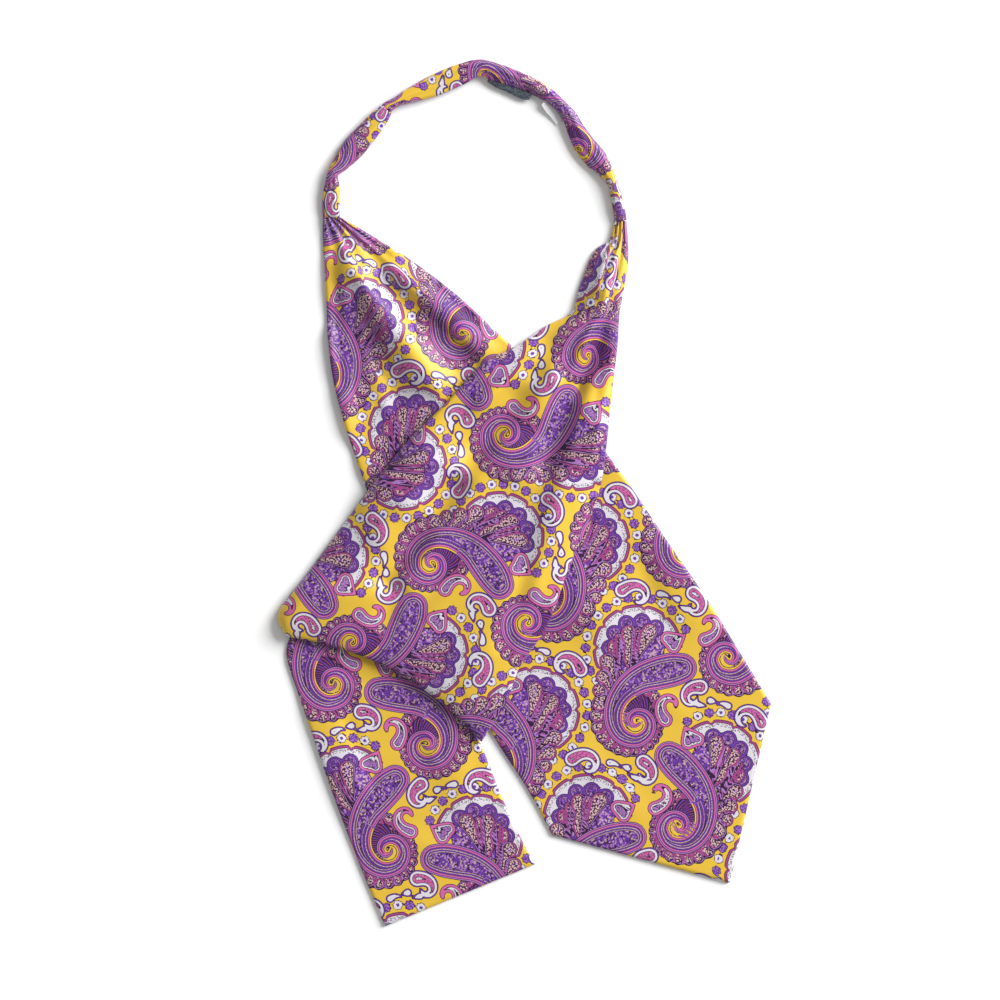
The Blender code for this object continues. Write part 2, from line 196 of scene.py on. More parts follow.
def along_rows(table, count):
    """The table's rows joined by a smooth curve (Catmull-Rom) and read at equal steps along the middle of
    the piece, as one array for each named column."""
    rows = np.array(table, dtype=float)
    knots = np.vstack([2 * rows[0] - rows[1], rows, 2 * rows[-1] - rows[-2]])
    t = np.linspace(0, 1, 20, endpoint=False)[:, None]
    fine = []
    for before, start, end, after in zip(knots[:-3], knots[1:-2], knots[2:-1], knots[3:]):
        fine.append(0.5 * (2 * start + (end - before) * t
                           + (2 * before - 5 * start + 4 * end - after) * t ** 2
                           + (3 * start - before - 3 * end + after) * t ** 3))
    fine = np.vstack(fine + [rows[-1:]])
    named = type(table[0])(*fine.T)
    if isinstance(table[0], Section):
        middle_x = (named.left_x + named.right_x) / 2
        middle_y = (named.left_y + named.right_y) / 2
    else:
        middle_x = named.x
        middle_y = named.y
    length = np.concatenate([[0], np.cumsum(np.hypot(np.diff(middle_x), np.diff(middle_y)))])
    wanted = length[-1] * (count if np.ndim(count) else np.linspace(0, 1, count))
    return type(table[0])(*[np.interp(wanted, length, column) for column in named])


def spread(count):
    """Places from 0 to 1, evenly spaced but with three more close to each end, where edges are rounded."""
    near = np.array([0, 0.002, 0.005])
    return np.concatenate([near, np.linspace(0.010, 0.990, count), 1 - near[::-1]])


def panel_plan(sections, grid, pointed=False):
    """The blade's points on the table: each row runs straight from its left edge to its right edge, and
    its middle is pushed ahead, in a bow or, on a pointed end, in a straight-sided point."""
    down, across = grid
    rows = along_rows(sections, spread(down))
    u = spread(across)[None, :, None]
    left = np.column_stack([rows.left_x, rows.left_y])[:, None, :]
    right = np.column_stack([rows.right_x, rows.right_y])[:, None, :]
    chord = right - left
    travel = np.concatenate([chord[..., 1:2], -chord[..., 0:1]], axis=2)
    travel /= np.linalg.norm(travel, axis=2, keepdims=True)
    shape = 1 - np.abs(2 * u - 1) if pointed else 4 * u * (1 - u)
    return left + chord * u + travel * rows.ahead[:, None, None] * shape


def smooth_step(t):
    """0 below 0, 1 above 1, and an even slope between."""
    t = np.clip(t, 0, 1)
    return t * t * (3 - 2 * t)


def fold_height(x, y, folds):
    """Height of the folds at each point: each is a rounded crest along its line, fading at both ends."""
    total = np.zeros(x.shape)
    for fold in folds:
        length = np.hypot(fold.to_x - fold.from_x, fold.to_y - fold.from_y)
        dx = (fold.to_x - fold.from_x) / length
        dy = (fold.to_y - fold.from_y) / length
        along = (x - fold.from_x) * dx + (y - fold.from_y) * dy
        aside = (x - fold.from_x) * dy - (y - fold.from_y) * dx
        fade = smooth_step((along + fold.half_width) / (2 * fold.half_width))
        fade *= smooth_step((length + fold.half_width - along) / (3 * fold.half_width))
        total += fold.height * fade * np.clip(1 - (aside / (2 * fold.half_width)) ** 2, 0, 1) ** 3
    return total


def gathers_at(plan, gathers):
    """Height of the gathers, rounded crests that run down the blade and fade out, and the cloth tucked
    away beside each, as a shift of the print across the blade in millimetres."""
    down = np.linspace(0, 1, plan.shape[0])[:, None]
    across = spread(plan.shape[1] - 6)[None, :]
    height = np.zeros(plan.shape[:2])
    shift = np.zeros(plan.shape[:2])
    for gather in gathers:
        fade = np.clip(1 - down / gather.reach, 0, 1) ** 1.5
        aside = (across - gather.across) / gather.half_width
        height += gather.height * fade * np.exp(-aside ** 2)
        shift += gather.tucked * fade ** 0.5 * (smooth_step((aside - 0.6) / 1.2) - 0.5)
    return height, shift


def line_distance(plan, line):
    """Distance from each point of the blade to a line of points on the table."""
    nearest = np.full(plan.shape[:2], np.inf)
    for a, b in zip(line[:-1], line[1:]):
        side = b - a
        t = np.clip(((plan - a) @ side) / max(side @ side, 1e-9), 0, 1)
        nearest = np.minimum(nearest, np.linalg.norm(plan - a - t[..., None] * side, axis=2))
    return nearest


def print_places(plan, lay, shift):
    """Where each point of the blade lies on the printed silk, in the print's steps: the plan turned and
    moved to the print, and moved across the blade by the cloth tucked away in the gathers."""
    chord = plan[:, -1:] - plan[:, :1]
    chord /= np.linalg.norm(chord, axis=2, keepdims=True)
    moved = (plan + chord * shift[..., None] - (lay.x, lay.y)) / STEP
    turn = np.radians(lay.turn)
    u = moved[..., 0] * np.cos(turn) + moved[..., 1] * np.sin(turn)
    v = moved[..., 1] * np.cos(turn) - moved[..., 0] * np.sin(turn)
    return u, v


def drop_chain(drop):
    """The circles of one drop: the heading bends more and more towards the tip, the radius shrinks."""
    t = np.linspace(0, 1, 26)
    heading = np.radians(drop.heading + drop.bend * t ** 1.7)
    x = drop.x + np.cumsum(np.cos(heading)) * drop.length / 26
    y = drop.y + np.cumsum(np.sin(heading)) * drop.length / 26
    radius = drop.tip + (drop.radius - drop.tip) * (1 - t) ** 0.75
    return Link(x, y, radius)


def chain_depth(x, y, chain):
    """How deep each point lies in a chain of circles, its signed distance aside from the chain's middle
    line, and the radius and the share of the circle beside it."""
    depth = np.full(x.shape, -1e3)
    aside = np.zeros(x.shape)
    radius = np.ones(x.shape)
    along = np.zeros(x.shape)
    way_x = np.gradient(chain.x)
    way_y = np.gradient(chain.y)
    size = np.hypot(way_x, way_y)
    shares = np.linspace(0, 1, len(chain.x))
    for cx, cy, wx, wy, r, share in zip(chain.x, chain.y, way_x / size, way_y / size, chain.radius, shares):
        here = r - np.hypot(x - cx, y - cy)
        nearer = here > depth
        depth = np.where(nearer, here, depth)
        aside = np.where(nearer, (x - cx) * wy - (y - cy) * wx, aside)
        radius = np.where(nearer, r, radius)
        along = np.where(nearer, share, along)
    return depth, aside, radius, along


def print_fields(u, v):
    """The printed silk's drawing at each place: signed distances from the outlines of its forms, positive
    inside, each the deepest of all the motifs around."""
    shape = u.shape
    u = u.ravel()
    v = v.ravel()
    names = "inner outer coil frill stroke rim arc lobe petal vein white pink daisy eye kind".split()
    fields = {name: np.full(u.shape, -60.0) for name in names}
    near_eye = np.full(u.shape, 60.0)
    coil = along_rows(COIL, np.linspace(0, 1, 140) ** 1.5)
    cos, sin = np.cos(np.radians(HEAD_TURN)), np.sin(np.radians(HEAD_TURN))
    for side, start in ((1, (0, 0)), (-1, MIRRORED_AT)):
        columns = range(int((u.min() - 240) // REPEAT[0]), int((u.max() + 240) // REPEAT[0]) + 1)
        rows = range(int((v.min() - 240) // REPEAT[1]), int((v.max() + 240) // REPEAT[1]) + 1)
        for column in columns:
            for row in rows:
                dx = u - start[0] - column * REPEAT[0]
                dy = (v - start[1] - row * REPEAT[1]) * side
                use = np.nonzero((np.hypot(dx, dy) < 150))[0]
                if not len(use):
                    continue
                x = dx[use] * cos + dy[use] * sin
                y = dy[use] * cos - dx[use] * sin
                draw_motif(fields, near_eye, use, x, y, coil)
    fields["eye"] = near_eye
    return {name: field.reshape(shape) for name, field in fields.items()}


def deepen(fields, use, depth, **others):
    """Keeps the deeper of what is there and this form, with what goes along with it."""
    name, value = depth
    nearer = value > fields[name][use]
    at = use[nearer]
    fields[name][at] = value[nearer]
    for other, values in others.items():
        fields[other][at] = values[nearer]


def lay_over(fields, use, depth, aside):
    """Lays a petal over those before it: they are cut back along its outline, so that each keeps its own."""
    below = np.minimum(fields["petal"][use], -depth)
    over = depth > below
    fields["petal"][use] = np.where(over, depth, below)
    fields["vein"][use[over]] = aside[over]


def draw_motif(fields, near_eye, use, x, y, coil):
    """One paisley motif: its coil, the frill round it, the fan with its petals and daisies, and the small
    drops beside it."""
    depth, aside, radius, along = chain_depth(x, y, coil)
    head = along > HEAD_FROM
    inner = np.where(head, 60.0, np.where(aside < 0, depth, radius + aside))
    outer = np.where(head | (aside > 0), depth, radius - aside)
    deepen(fields, use, ("coil", depth), inner=inner, outer=outer)

    away = np.hypot(x, y)
    turn = (np.degrees(np.arctan2(y, x)) + 30) % 360 - 30
    phase = turn / 360 * FRILL_SCALLOPS
    reach = np.interp(turn, FRILL_TURN, FRILL_AWAY) + 2.4 * np.abs(np.sin(np.pi * phase)) - 1.2
    deepen(fields, use, ("frill", np.minimum(reach - away, (away - 9) * 4)), stroke=phase + away / 9)
    leaf_turn = -30 + (np.arange(FRILL_SCALLOPS) + 0.5) * 360 / FRILL_SCALLOPS
    leaf_away = np.interp(leaf_turn, FRILL_TURN, FRILL_AWAY) * 0.85 + 0.6
    leaf_x = leaf_away * np.cos(np.radians(leaf_turn))
    leaf_y = leaf_away * np.sin(np.radians(leaf_turn))
    leaves = tuple(Drop(leaf_x[i], leaf_y[i], leaf_turn[i] + 128, leaf_away[i] - 13, 46,
                        0.19 * leaf_away[i], 0.8)
                   for i in range(FRILL_SCALLOPS) if leaf_turn[i] < 265)

    fan_x = x - FAN[0]
    fan_y = y - FAN[1]
    fan_away = np.hypot(fan_x, fan_y)
    fan_turn = np.degrees(np.arctan2(fan_y, fan_x))
    notch = ((fan_turn + 176) % 32 - 16) * np.radians(fan_away)
    rim = FAN_RIM - fan_away - 3.4 * np.exp(-(notch / 1.8) ** 2)
    arc = rim.copy()
    rim = np.minimum(rim, np.radians(fan_turn - RIM_FROM) * fan_away)
    rim = np.minimum(rim, np.radians(RIM_TO + 20 - fan_turn) * fan_away)
    rim = np.maximum(rim, FAN_HEART - fan_away)
    lobe = np.full(x.shape, -60.0)
    for lobe_turn in np.radians(LOBE_TURNS):
        middle_x = LOBE_AWAY * np.cos(lobe_turn)
        middle_y = LOBE_AWAY * np.sin(lobe_turn)
        lobe = np.maximum(lobe, LOBE_RADIUS - np.hypot(fan_x - middle_x, fan_y - middle_y))
    deepen(fields, use, ("rim", rim), lobe=lobe, arc=arc)

    for drops, name in ((WHITE_DROPS, "white"), (PINK_DROPS, "pink"), (PETALS + leaves, "petal")):
        for drop in drops:
            near = np.nonzero(np.hypot(x - drop.x, y - drop.y) < drop.length + drop.radius + 3)[0]
            depth, aside, _, _ = chain_depth(x[near], y[near], drop_chain(drop))
            if name == "petal":
                lay_over(fields, use[near], depth, aside)
            else:
                deepen(fields, use[near], (name, depth))

    for number, daisy_turn in enumerate(np.radians(DAISY_TURNS)):
        petal_x = fan_x - DAISY_AWAY * np.cos(daisy_turn)
        petal_y = fan_y - DAISY_AWAY * np.sin(daisy_turn)
        from_eye = np.hypot(petal_x, petal_y)
        wave = np.cos(8 * np.arctan2(petal_y, petal_x))
        kind = np.full(x.shape, number % 2.0)
        deepen(fields, use, ("daisy", DAISY_RADIUS + 0.7 * wave - from_eye), kind=kind)
        near_eye[use] = np.minimum(near_eye[use], from_eye)


def put_mesh(name, points, faces, fields, places):
    """One smooth mesh object with the print's fields and its places on the silk as a UV map."""
    mesh = bpy.data.meshes.new(name)
    mesh.from_pydata((points * MM).tolist(), [], faces.tolist())
    for group, parts in (("coil_print", ("inner", "outer", "coil")), ("frill_print", ("frill", "stroke", "rim")),
                         ("fan_print", ("lobe", "petal", "vein")), ("drop_print", ("white", "pink", "daisy")),
                         ("daisy_print", ("eye", "kind", "arc"))):
        attribute = mesh.attributes.new(group, "FLOAT_VECTOR", "POINT")
        values = np.column_stack([fields[part] for part in parts]).astype(np.float32)
        attribute.data.foreach_set("vector", values.ravel())
    corners = np.empty(len(mesh.loops), dtype=np.int32)
    mesh.loops.foreach_get("vertex_index", corners)
    layer = mesh.uv_layers.new(name="silk")
    layer.data.foreach_set("uv", (places[corners] * STEP * MM).astype(np.float32).ravel())
    mesh.shade_smooth()
    obj = bpy.data.objects.new(name, mesh)
    bpy.context.scene.collection.objects.link(obj)
    return obj


def grid_faces(rows, columns, start=0):
    """Quads of a grid of points, seen from above in turn to the left."""
    index = start + np.arange(rows * columns).reshape(rows, columns)
    quads = [index[:-1, :-1], index[1:, :-1], index[1:, 1:], index[:-1, 1:]]
    return np.stack(quads, axis=-1).reshape(-1, 4)


def panel_shell(name, plan, under, thick, lay, shift):
    """A closed shell of doubled silk: its top, its underside and the narrow wall round its edge."""
    rows, columns = plan.shape[:2]
    count = rows * columns
    top = np.concatenate([plan, (under + thick)[..., None]], axis=2).reshape(-1, 3)
    bottom = np.concatenate([plan, (under + 0 * thick)[..., None]], axis=2).reshape(-1, 3)
    index = np.arange(count).reshape(rows, columns)
    ring = np.concatenate([index[:-1, 0], index[-1, :-1], index[:0:-1, -1], index[0, :0:-1]])
    after = np.roll(ring, -1)
    wall = np.column_stack([ring, ring + count, after + count, after])
    faces = np.vstack([grid_faces(rows, columns), grid_faces(rows, columns, count)[:, ::-1], wall])
    u, v = print_places(plan, lay, shift)
    fields = {key: np.tile(value.ravel(), 2) for key, value in print_fields(u, v).items()}
    places = np.tile(np.column_stack([u.ravel(), v.ravel()]), (2, 1))
    return put_mesh(name, np.vstack([top, bottom]), faces, fields, places)


def edge_round(plan, width, ends=()):
    """The share of a blade's thickness at each point: a quarter circle's rise from its edges inwards."""
    edge = np.minimum(line_distance(plan, plan[:, 0]), line_distance(plan, plan[:, -1]))
    for end in ends:
        edge = np.minimum(edge, line_distance(plan, plan[end]))
    t = np.clip(edge / width, 0, 1)
    return 0.25 + 0.75 * np.sqrt(1 - (1 - t) ** 2)


def lower_height(x, y):
    """Underside of the blade that lies on the table: flat, but hollow under each fold."""
    return np.maximum(fold_height(x, y, LOWER_FOLDS), 0)


# Colours of the silk and its print
GOLD = (0.700, 0.458, 0.044)
DEEP_GOLD = (0.610, 0.360, 0.022)
INK = (0.024, 0.004, 0.030)
VIOLET = (0.128, 0.034, 0.300)
LILAC = (0.350, 0.155, 0.440)
PINK = (0.530, 0.110, 0.325)
MAGENTA = (0.295, 0.044, 0.190)
WHITE = (0.620, 0.580, 0.640)
TAN = (0.620, 0.410, 0.400)
CREAM = (0.500, 0.325, 0.355)
PLUM = (0.055, 0.013, 0.060)
NIGHT = (0.020, 0.005, 0.032)

# Bands of colour from an outline inwards: how deep each starts, in the print's steps, and its colour
INNER_BANDS = ((0, INK), (0.8, GOLD), (2.1, INK), (2.6, PINK), (4.1, INK), (4.6, VIOLET), (6.1, CREAM),
               (7.1, INK), (7.6, VIOLET), (9.0, INK), (9.4, LILAC), (10.6, INK), (11.0, VIOLET))
OUTER_BANDS = ((0, INK), (0.7, LILAC), (1.7, INK), (2.2, PINK), (3.7, INK), (4.2, VIOLET), (5.6, CREAM),
               (6.6, INK), (7.0, VIOLET), (8.1, CREAM), (8.9, INK))
RIM_BANDS = ((0, INK), (0.7, MAGENTA), (2.7, INK), (3.3, WHITE))
LOBE_BANDS = ((0, INK), (0.7, VIOLET), (2.3, INK), (2.9, LILAC), (4.2, VIOLET))
PETAL_BANDS = ((0, INK), (0.7, LILAC), (1.3, INK), (2.1, PLUM), (5.0, INK), (5.8, VIOLET), (7.2, INK))
WHITE_BANDS = ((0, INK), (0.5, VIOLET), (1.2, INK), (1.6, WHITE), (3.7, INK), (4.3, PINK), (6.8, INK),
               (7.3, WHITE))
PINK_BANDS = ((0, INK), (0.7, PINK), (2.7, INK), (3.3, WHITE), (4.5, INK), (5.1, LILAC), (6.8, INK),
              (7.4, VIOLET))
STROKES = ((0, INK), (0.20, MAGENTA), (0.36, INK), (0.50, TAN), (0.68, INK), (0.84, LILAC))
DEEP_STROKES = ((0, NIGHT), (0.30, MAGENTA), (0.48, NIGHT), (0.72, VIOLET))
MOTTLE = ((0, VIOLET), (0.30, INK), (0.38, LILAC), (0.62, VIOLET), (0.78, CREAM), (0.91, PLUM))


def printed_silk():
    """Silk twill with the paisley print. Each form is laid over those before it: a ramp gives its bands of
    colour by depth, and its outline cuts it out."""
    material = bpy.data.materials.new("printed_silk")
    material.use_nodes = True
    nodes = material.node_tree.nodes
    links = material.node_tree.links
    shader = nodes["Principled BSDF"]

    def parts(name):
        node = nodes.new("ShaderNodeAttribute")
        node.attribute_name = name
        split = nodes.new("ShaderNodeSeparateXYZ")
        links.new(node.outputs["Vector"], split.inputs[0])
        return split.outputs

    def math(kind, a, b=0.0):
        node = nodes.new("ShaderNodeMath")
        node.operation = kind
        for socket, value in zip(node.inputs, (a, b)):
            if isinstance(value, (int, float)):
                socket.default_value = value
            else:
                links.new(value, socket)
        return node.outputs[0]

    def bands(depth, stops, span):
        ramp = nodes.new("ShaderNodeValToRGB")
        ramp.color_ramp.interpolation = "CONSTANT"
        ramp.color_ramp.elements.remove(ramp.color_ramp.elements[1])
        for place, colour in stops:
            element = ramp.color_ramp.elements[0] if place == 0 else ramp.color_ramp.elements.new(place / span)
            element.color = (*colour, 1)
        links.new(math("DIVIDE", depth, span), ramp.inputs[0])
        return ramp.outputs[0]

    def mix(below, above, share):
        node = nodes.new("ShaderNodeMix")
        node.data_type = "RGBA"
        links.new(share, node.inputs["Factor"])
        for socket, value in ((node.inputs[6], below), (node.inputs[7], above)):
            if isinstance(value, tuple):
                socket.default_value = (*value, 1)
            else:
                links.new(value, socket)
        return node.outputs[2]

    def above(value, limit=0.0):
        return math("GREATER_THAN", value, limit)

    inner, outer, coil = parts("coil_print")
    frill, stroke, rim = parts("frill_print")
    lobe, petal, vein = parts("fan_print")
    white, pink, daisy = parts("drop_print")
    eye, kind, arc = parts("daisy_print")
    place = nodes.new("ShaderNodeUVMap")
    place.uv_map = "silk"

    def cells(size):
        node = nodes.new("ShaderNodeTexVoronoi")
        node.voronoi_dimensions = "2D"
        node.inputs["Scale"].default_value = 1 / (size * STEP * MM)
        links.new(place.outputs[0], node.inputs["Vector"])
        return node

    stipple = math("LESS_THAN", cells(1.9).outputs["Distance"], 0.33)
    scrolls = math("LESS_THAN", cells(1.9).outputs["Distance"], 0.39)
    grain = cells(1.6)
    tone = nodes.new("ShaderNodeSeparateColor")
    links.new(grain.outputs["Color"], tone.inputs[0])
    mottle = bands(tone.outputs[0], MOTTLE, 1)

    noise = nodes.new("ShaderNodeTexNoise")
    noise.noise_dimensions = "2D"
    noise.inputs["Scale"].default_value = 45
    links.new(place.outputs[0], noise.inputs["Vector"])
    colour = mix(GOLD, DEEP_GOLD, math("MULTIPLY", noise.outputs[0], 0.35))

    plain = mix(WHITE, INK, math("LESS_THAN", daisy, 0.7))
    plain = mix(plain, VIOLET, math("LESS_THAN", eye, 1.9))
    dark = mix(mix(VIOLET, LILAC, stipple), INK, math("LESS_THAN", daisy, 0.7))
    colour = mix(colour, mix(plain, dark, above(kind, 0.5)), above(daisy))

    strokes = bands(math("FRACT", stroke), STROKES, 1)
    strokes = mix(strokes, INK, math("MULTIPLY", stipple, 0.8))
    strokes = mix(strokes, INK, math("LESS_THAN", frill, 1.1))
    strokes = mix(strokes, bands(math("FRACT", stroke), DEEP_STROKES, 1), above(frill, 13.0))
    colour = mix(colour, strokes, above(frill))

    fan = bands(arc, RIM_BANDS, 20)
    speckled = math("MULTIPLY", above(arc, 3.8), math("LESS_THAN", arc, 7.0))
    fan = mix(fan, INK, math("MULTIPLY", stipple, math("MULTIPLY", speckled, 0.8)))
    fan = mix(fan, mottle, above(arc, 14.0))
    fan = mix(fan, mottle, math("LESS_THAN", arc, 0.0))
    fan = mix(fan, INK, math("MULTIPLY", above(arc, 3.0), math("LESS_THAN", rim, 0.9)))
    lobes = mix(bands(lobe, LOBE_BANDS, 12), mottle, math("MULTIPLY", above(lobe, 3.4), 0.7))
    lobes = mix(lobes, INK, math("MULTIPLY", stipple, math("MULTIPLY", above(lobe, 2.9), 0.7)))
    fan = mix(fan, lobes, above(lobe))
    colour = mix(colour, fan, above(rim))

    leaf = mix(bands(petal, PETAL_BANDS, 10), TAN, math("MULTIPLY", scrolls, above(petal, 2.1)))
    pink_side = math("MULTIPLY", above(petal, 0.8), math("LESS_THAN", petal, 2.2))
    leaf = mix(leaf, MAGENTA, math("MULTIPLY", pink_side, math("LESS_THAN", vein, 0.0)))
    colour = mix(colour, leaf, above(petal))

    near_inner = math("LESS_THAN", inner, outer)
    body = mix(bands(outer, OUTER_BANDS, 20), bands(inner, INNER_BANDS, 20), near_inner)
    deep = math("MULTIPLY", above(outer, 9.4), above(inner, 12.2))
    body = mix(body, mottle, deep)
    body = mix(body, INK, math("MULTIPLY", stipple, math("MULTIPLY", above(coil, 4.2), 0.45)))
    colour = mix(colour, body, above(coil))

    for field, stops in ((white, WHITE_BANDS), (pink, PINK_BANDS)):
        drop = mix(bands(field, stops, 12), INK, math("MULTIPLY", stipple, math("MULTIPLY", above(field, 4.0), 0.6)))
        colour = mix(colour, drop, above(field))

    links.new(colour, shader.inputs["Base Color"])

    weave = nodes.new("ShaderNodeTexWave")
    weave.bands_direction = "DIAGONAL"
    weave.inputs["Scale"].default_value = 420
    links.new(place.outputs[0], weave.inputs["Vector"])
    bump = nodes.new("ShaderNodeBump")
    bump.inputs["Strength"].default_value = 0.12
    bump.inputs["Distance"].default_value = 0.0001
    links.new(weave.outputs[0], bump.inputs["Height"])
    links.new(bump.outputs[0], shader.inputs["Normal"])
    shader.inputs["Roughness"].default_value = 0.42
    shader.inputs["Specular IOR Level"].default_value = 0.3
    shader.inputs["Sheen Weight"].default_value = 0.1
    return material


SILK = printed_silk()

left_plan = panel_plan(LEFT_PANEL_SECTIONS, (150, 124))
left_gather, left_shift = gathers_at(left_plan, LEFT_GATHERS)
left_under = lower_height(left_plan[..., 0], left_plan[..., 1]) + left_gather
left_crease = fold_height(left_plan[..., 0], left_plan[..., 1], LOWER_CREASES)
left_thick = 2.0 * edge_round(left_plan, 1.6) + np.maximum(left_crease, -1.6)
left_panel_silk = panel_shell("left_panel_silk", left_plan, left_under, left_thick,
                              Lay(-12.5, 31.0, 73), left_shift)

blade_plan = panel_plan(POINTED_BLADE_SECTIONS, (170, 130), pointed=True)
blade_under = lower_height(blade_plan[..., 0], blade_plan[..., 1])
blade_crease = fold_height(blade_plan[..., 0], blade_plan[..., 1], LOWER_CREASES)
blade_thick = 2.0 * edge_round(blade_plan, 1.6, ends=(-1,)) + blade_crease
pointed_blade_silk = panel_shell("pointed_blade_silk", blade_plan, blade_under, blade_thick,
                                 Lay(89.0, -193.4, 73.5), np.zeros(blade_plan.shape[:2]))

# The second blade's square end, which comes out from under the soft fold and lies flat on the table. Two
# low folds run down it.

SQUARE_END_SECTIONS = (
    Section(-127, -62, -70, -62, 0),
    Section(-135, -80, -58, -85, 0),
    Section(-138, -94, -43, -114, 0),
    Section(-132, -114, -31, -134, 0),
    Section(-124, -137, -23, -151, 0),
    Section(-112, -172, -14, -174, 0),
    Section(-97, -212, -3, -198, 0),
    Section(-81, -251, 6, -215, 0),
)

SQUARE_FOLDS = (
    Fold(-122, -120, -92, -190, 12, 1.5),
    Fold(-52, -135, -30, -190, 11, 1.3),
)

SQUARE_CREASES = (
    Fold(-126, -98, -92, -118, 4.0, 0.8),
    Fold(-104, -130, -84, -176, 4.0, -0.6),
    Fold(-60, -128, -50, -160, 3.5, 0.5),
    Fold(-70, -196, -40, -216, 6.0, 0.4),
)

square_plan = panel_plan(SQUARE_END_SECTIONS, (170, 90))
square_under = np.maximum(fold_height(square_plan[..., 0], square_plan[..., 1], SQUARE_FOLDS), 0)
square_crease = fold_height(square_plan[..., 0], square_plan[..., 1], SQUARE_CREASES)
square_thick = 2.0 * edge_round(square_plan, 1.6, ends=(-1,)) + square_crease
square_end_silk = panel_shell("square_end_silk", square_plan, square_under, square_thick,
                              Lay(-56.6, -145.9, 108.6), np.zeros(square_plan.shape[:2]))

# The second blade, gathered at the right shoulder. It lies over the first one across the crossing, with a
# puffed left edge, long soft folds down it and a rounded fold at its lower end.

OVER_PANEL_SECTIONS = (
    Section(52, 158, 59, 158, 0),
    Section(49, 147, 60, 147, 0),
    Section(40, 140, 60, 134, 0),
    Section(32, 120, 58, 120, 0),
    Section(27, 105, 55, 104, 0),
    Section(12, 97, 54, 87, 0),
    Section(-4, 86, 52, 70, 0),
    Section(-26, 74, 50, 53, 0),
    Section(-45, 53, 48, 33, 0),
    Section(-66, 32, 46, 16, 0),
    Section(-86, 8, 43, 0, 0),
    Section(-100, -11, 36, -20, 0),
    Section(-114, -30, 26, -42, 0),
    Section(-128, -49, 18, -65, 0),
    Section(-140, -64, 10, -82, 0),
    Section(-143, -72, -3, -101, -2),
    Section(-141, -78, -11, -122, -7),
    Section(-138, -83, -25, -144, -12),
)

OVER_FOLDS = (
    Fold(50, 140, 30, 74, 6, 2.0),
    Fold(35, 97, -32, 43, 8, 3.2),
    Fold(46, 85, -10, 20, 7, -1.8),
    Fold(44, 60, 10, -45, 12, 3.6),
    Fold(-10, 12, -81, -85, 9, -2.6),
    Fold(-49, 25, -113, -60, 14, 2.8),
    Fold(5, -45, -43, -108, 15, 2.8),
)

OVER_CREASES = (
    Fold(62, 140, 46, 10, 16.0, 3.6),
    Fold(34, 128, -2, 58, 7.0, -3.4),
    Fold(46, 124, 4, 36, 9.0, 2.6),
    Fold(2, 32, -44, -22, 9.0, 3.2),
    Fold(-46, -24, -78, -74, 8.0, 2.2),
    Fold(42, 116, 20, 66, 3.5, -2.0),
    Fold(46, 96, 27, 54, 4.0, -2.4),
    Fold(24, 96, -30, 48, 4.0, 1.0),
    Fold(-2, 60, -38, 16, 8.0, -5.2),
    Fold(30, 64, 9, 8, 6.0, -4.0),
    Fold(50, 78, 40, 20, 3.0, 1.0),
    Fold(44, 6, 30, -40, 4.0, -2.2),
    Fold(22, 12, 2, -62, 6.0, 1.4),
    Fold(-38, 8, -84, -50, 8.0, -5.4),
    Fold(-72, -54, -90, -94, 6.0, -2.6),
    Fold(-58, 8, -104, -46, 4.0, 1.0),
    Fold(4, -40, -14, -92, 5.0, -1.6),
)

RIGHT_GATHERS = (
    Gather(0.12, 0.07, 0.9, 0.22, 5),
    Gather(0.36, 0.08, 1.5, 0.30, 7),
    Gather(0.62, 0.08, 2.1, 0.36, 6),
    Gather(0.86, 0.08, 1.6, 0.34, 5),
)


def distance_outside(x, y, polygon):
    """Distance from each point to the polygon, 0 inside it."""
    inside = np.zeros(x.shape, dtype=bool)
    nearest = np.full(x.shape, np.inf)
    for a, b in zip(polygon, np.roll(polygon, -1, axis=0)):
        side = b - a
        t = np.clip(((x - a[0]) * side[0] + (y - a[1]) * side[1]) / max(side @ side, 1e-9), 0, 1)
        nearest = np.minimum(nearest, np.hypot(x - a[0] - t * side[0], y - a[1] - t * side[1]))
        if a[1] != b[1]:
            crosses = (a[1] > y) != (b[1] > y)
            inside ^= crosses & (x < a[0] + (y - a[1]) * side[0] / side[1])
    return np.where(inside, 0.0, nearest)


def blade_outline(*panels):
    """The outline of one blade's panels on the table: down the left edges and back up the right ones."""
    rows = [along_rows(sections, 24) for sections in panels]
    left = [np.column_stack([row.left_x, row.left_y]) for row in rows]
    right = [np.column_stack([row.right_x, row.right_y])[::-1] for row in rows[::-1]]
    return np.vstack(left + right)


def support_height(x, y):
    """What the upper blade rests on: the blades below it, a layer's gap up, and the table beside them."""
    total = np.zeros(x.shape)
    for polygon, folds in ((blade_outline(LEFT_PANEL_SECTIONS, POINTED_BLADE_SECTIONS), LOWER_FOLDS),
                           (blade_outline(SQUARE_END_SECTIONS), SQUARE_FOLDS)):
        step = 1 - smooth_step((distance_outside(x, y, polygon) - 0.35) / 16)
        total = np.maximum(total, (np.maximum(fold_height(x, y, folds), 0) + 2.7) * step)
    return total


